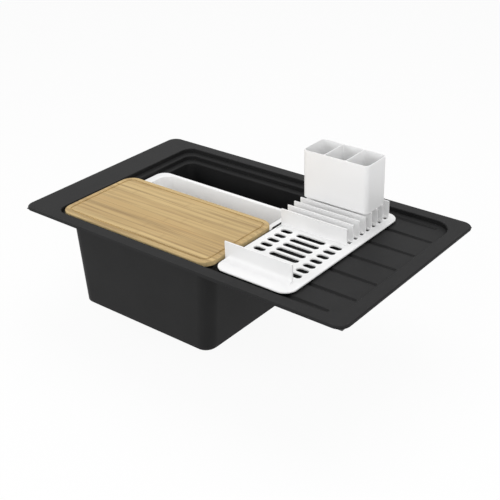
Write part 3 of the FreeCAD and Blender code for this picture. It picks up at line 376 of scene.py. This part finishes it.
# %% Number the strips
bamboo = new_material("oiled_bamboo")
STRIP_WIDTH = 0.0203
GLUE_STARTS = 0.480

where = add_node(bamboo, "TexCoord")
along_across = add_node(bamboo, "SeparateXYZ")
join(bamboo, where.outputs["Object"], along_across.inputs["Vector"])


def calculate(operation, first, second=None):
    """One sum in the bamboo's recipe."""
    sum_node = add_node(bamboo, "Math", operation=operation)
    for socket, number in zip(sum_node.inputs, (first, second)):
        if number is None:
            continue
        if hasattr(number, "is_output"):
            join(bamboo, number, socket)
        else:
            socket.default_value = number
    return sum_node.outputs[0]


across = calculate("DIVIDE", calculate("ADD", along_across.outputs["Y"], 1.0), STRIP_WIDTH)
strip_number = calculate("FLOOR", across)
from_strip_middle = calculate("ABSOLUTE", calculate("SUBTRACT", calculate("FRACT", across), 0.5))
glue_line = calculate("GREATER_THAN", from_strip_middle, GLUE_STARTS)


def lot_for_strip(scale):
    """A number from 0 to 1 that is drawn once for each strip."""
    lot = add_node(bamboo, "TexWhiteNoise", noise_dimensions="1D")
    join(bamboo, calculate("MULTIPLY", strip_number, scale), lot.inputs["W"])
    return lot.outputs["Value"]


board_low, board_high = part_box("chopping_board")
print("strips across the board:", round((board_high.y - board_low.y) / STRIP_WIDTH))

# %% [markdown]
# Bamboo is a grass: its fibres run dead straight, and every 200 to 300 mm a strip is crossed by
# the scar of a knot, a narrow bar a little darker than the cane. We stretch three noises along
# the board for fibres, streaks and slow changes of warmth, and slide the knots of each strip by
# its own lot, so that they never line up.

# %% Grow fibres and knots
KNOT_SPACING = 0.27
KNOT_WOBBLE = 0.03
fibres = grain(bamboo, 420, detail=5, stretch=(0.02, 1, 1))
streaks = grain(bamboo, 95, detail=4, stretch=(0.03, 1, 1))
warmth = grain(bamboo, 7, detail=3, stretch=(0.5, 1, 1))
wobble = grain(bamboo, 60, detail=2)

slid = calculate("ADD", calculate("DIVIDE", calculate("ADD", along_across.outputs["X"], 1.0),
                                  KNOT_SPACING), lot_for_strip(3.71))
shaken = calculate("ADD", slid, calculate("MULTIPLY", wobble, KNOT_WOBBLE))
from_knot = calculate("ABSOLUTE", calculate("SUBTRACT", calculate("FRACT", shaken), 0.5))
knot = blend_range(bamboo, from_knot, 1, 0, (0.004, 0.022))

# %% [markdown]
# The colours are laid over each other from the strip's own tone to the glue. Then the edges and
# the walls of the juice groove are painted paler, as painted light that lifts their shade. Which
# way the surface faces tells them apart: a side face has no share of up in it.

# %% Colour and oil the bamboo
DARK_STRIP, PALE_STRIP = (0.47, 0.302, 0.120), (0.65, 0.480, 0.222)
STREAK, FIBRE, WARM_CANE = (0.265, 0.162, 0.060), (0.58, 0.44, 0.225), (0.40, 0.280, 0.118)
KNOT_SCAR, GLUE, SIDE_PAINTED_LIGHT = (0.24, 0.142, 0.049), (0.17, 0.105, 0.040), (0.60, 0.47, 0.25)
KNOT_SHARE, GLUE_SHARE = 0.13, 0.55

strip_colour = blend_colours(bamboo, lot_for_strip(1.37), DARK_STRIP, PALE_STRIP)
streaked = blend_colours(bamboo, blend_range(bamboo, streaks, 0, 0.85, (0.45, 0.66)),
                         strip_colour, STREAK)
fibrous = blend_colours(bamboo, blend_range(bamboo, fibres, 0, 0.55, (0.42, 0.70)),
                        streaked, FIBRE)
warm = blend_colours(bamboo, blend_range(bamboo, warmth, 0, 0.3), fibrous, WARM_CANE)
knotted = blend_colours(bamboo, calculate("MULTIPLY", knot, KNOT_SHARE), warm, KNOT_SCAR)
glued = blend_colours(bamboo, calculate("MULTIPLY", glue_line, GLUE_SHARE), knotted, GLUE)

facing = add_node(bamboo, "NewGeometry")
facing_parts = add_node(bamboo, "SeparateXYZ")
join(bamboo, facing.outputs["Normal"], facing_parts.inputs["Vector"])
upwards_share = calculate("ABSOLUTE", facing_parts.outputs["Z"])
# painted light: faces that do not look up are mixed towards a paler cane colour
side_light_share = blend_range(bamboo, upwards_share, 0.6, 0, (0.3, 0.9))
side_lit_colour = blend_colours(bamboo, side_light_share, glued, SIDE_PAINTED_LIGHT)
join(bamboo, side_lit_colour, shader_of(bamboo).inputs["Base Color"])
join(bamboo, blend_range(bamboo, fibres, 0.42, 0.56), shader_of(bamboo).inputs["Roughness"])
shader_of(bamboo).inputs["Specular IOR Level"].default_value = 0.3
join(bamboo, bumps(bamboo, fibres, 0.00015, 0.4), shader_of(bamboo).inputs["Normal"])
dress(bamboo, "chopping_board")

# %% [markdown]
# ## Steel, rubber and black plastic
# The waste and the overflow are small, but they show when the colander is moved or the sink is
# seen from below. The strainer is brushed steel, its kit below the sink is black moulding, and
# rings of rubber seal both sides of each joint.

# %% Brush the steel
steel = new_material("brushed_steel")
brushing = grain(steel, 700, detail=4, stretch=(0.06, 1, 1))
join(steel, blend_colours(steel, blend_range(steel, brushing, 0, 1),
                          (0.50, 0.50, 0.50), (0.62, 0.62, 0.61)),
     shader_of(steel).inputs["Base Color"])
shader_of(steel).inputs["Metallic"].default_value = 1.0
join(steel, blend_range(steel, brushing, 0.24, 0.40), shader_of(steel).inputs["Roughness"])
join(steel, bumps(steel, brushing, 0.00004, 0.3), shader_of(steel).inputs["Normal"])
dress(steel, "waste_flange", "strainer_basket", "clamp_screw", "overflow_cover",
      "overflow_screw")

# %% Mould the black kit
kit = new_material("black_moulding")
kit_skin = grain(kit, 350, detail=3)
join(kit, blend_colours(kit, blend_range(kit, kit_skin, 0, 1),
                        (0.022, 0.022, 0.023), (0.034, 0.034, 0.035)),
     shader_of(kit).inputs["Base Color"])
join(kit, blend_range(kit, kit_skin, 0.36, 0.5), shader_of(kit).inputs["Roughness"])
join(kit, bumps(kit, kit_skin, 0.00006, 0.4), shader_of(kit).inputs["Normal"])
dress(kit, "waste_body", "basket_knob", "overflow_housing", "overflow_pipe", "overflow_nuts")

# %% [markdown]
# ## A thread that can be screwed on
# The trap's nut screws on to the outlet under the sink. A thread is one small tooth carried
# round in a helix, and that is how the Screw modifier makes it: we draw the tooth's two flanks
# and let the modifier turn them. The outlet's radius and place come from the frame's record.

# %% Turn the outlet's thread
PITCH = 0.0023
TOOTH = 0.0006
TURNS = 6
SINK_IN = 0.0001
STEPS_PER_TURN = 40
outlet = next(mount for mount in frame["record"]["mounts"]
              if mount["name"] == "waste_outlet_thread")
outlet_radius = outlet["dims"]["r_mm"] / 1000
outlet_middle = Vector(outlet["pos_m"])

tooth = bpy.data.meshes.new("outlet_thread")
root = outlet_radius - SINK_IN
tooth.from_pydata([(root, 0, -PITCH / 2), (outlet_radius + TOOTH, 0, -PITCH / 10),
                   (outlet_radius + TOOTH, 0, PITCH / 10), (root, 0, PITCH / 2)],
                  [(0, 1), (1, 2), (2, 3)], [])
tooth.materials.append(kit)
thread = bpy.data.objects.new("outlet_thread", tooth)
thread.location = outlet_middle - Vector((0, 0, TURNS * PITCH / 2))
scene.collection.objects.link(thread)
helix = thread.modifiers.new("helix", "SCREW")
helix.axis = "Z"
helix.angle = math.tau
helix.screw_offset = PITCH
helix.iterations = TURNS
helix.steps = helix.render_steps = STEPS_PER_TURN
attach(thread, "sink")
thread_top = thread.location.z + TURNS * PITCH
print("thread from", round(thread.location.z, 4), "to", round(thread_top, 4), "m")

# %% [markdown]
# ## Heads for a screwdriver
# Two steel screws show: one holds the overflow's rose and one the strainer's cup. Their cross
# recesses are a few millimetres wide and look black because no light gets down into them. A
# black cross, bevelled and laid a hair above the head, reads the same and costs 12 corners.

# %% Lay the crosses
ARM, HALF_SLOT, PROUD = 0.0030, 0.00055, 0.00012


def cross_recess(name, centre, facing):
    """A black cross on a screw head that faces along an axis."""
    corner = [(HALF_SLOT, HALF_SLOT), (HALF_SLOT, ARM), (-HALF_SLOT, ARM)]
    outline = [(x * math.cos(turn) - y * math.sin(turn), x * math.sin(turn) + y * math.cos(turn), 0)
               for turn in (0, math.pi / 2, math.pi, 3 * math.pi / 2) for x, y in corner]
    mesh = bpy.data.meshes.new(name)
    mesh.from_pydata(outline, [], [tuple(range(len(outline)))])
    # painted shade: the cross wears the black moulding in place of the shadow inside the recess
    mesh.materials.append(kit)
    cross = bpy.data.objects.new(name, mesh)
    cross.rotation_euler = Vector(facing).to_track_quat("Z", "Y").to_euler()
    cross.location = centre
    scene.collection.objects.link(cross)
    thick = cross.modifiers.new("thickness", "SOLIDIFY")
    thick.thickness = PROUD
    thick.offset = 1
    soft = cross.modifiers.new("soft_corners", "BEVEL")
    soft.width = PROUD / 2
    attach(cross, "sink")
    return cross


def face_centre(node, axis):
    """The middle of a node's box, on the side that lies furthest along an axis."""
    low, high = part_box(node)
    middle = (Vector(low) + Vector(high)) / 2
    middle[axis] = high[axis]
    return middle


rose_cross = cross_recess("overflow_screw_cross", face_centre("overflow_screw", 0), (1, 0, 0))
cup_cross = cross_recess("clamp_screw_cross", face_centre("clamp_screw", 2), (0, 0, 1))
for cross in (rose_cross, cup_cross):
    print(cross.name, "at", [round(place, 4) for place in cross.location])

# %% [markdown]
# ## Rubber rings and foam strips
# Rubber sheds light evenly and gathers dust, so its black is uneven and hardly shines. The
# sealing strip under the rim is foam, whose cut cells make it paler and rougher than rubber.

# %% Cut the rubber and the foam
rubber = new_material("black_rubber")
dust = grain(rubber, 500, detail=4)
join(rubber, blend_colours(rubber, blend_range(rubber, dust, 0, 1),
                           (0.016, 0.016, 0.016), (0.030, 0.030, 0.030)),
     shader_of(rubber).inputs["Base Color"])
join(rubber, blend_range(rubber, dust, 0.7, 0.85), shader_of(rubber).inputs["Roughness"])
join(rubber, bumps(rubber, dust, 0.00005, 0.4), shader_of(rubber).inputs["Normal"])
dress(rubber, "flange_gasket", "body_gasket", "overflow_gasket", "basket_seal", "rack_feet")

foam = new_material("sealing_foam")
cells = grain(foam, 1400, detail=2)
join(foam, blend_colours(foam, blend_range(foam, cells, 0, 1),
                         (0.05, 0.05, 0.05), (0.09, 0.09, 0.09)),
     shader_of(foam).inputs["Base Color"])
shader_of(foam).inputs["Roughness"].default_value = 0.95
join(foam, bumps(foam, cells, 0.0003, 0.6), shader_of(foam).inputs["Normal"])
dress(foam, "rim_seal")
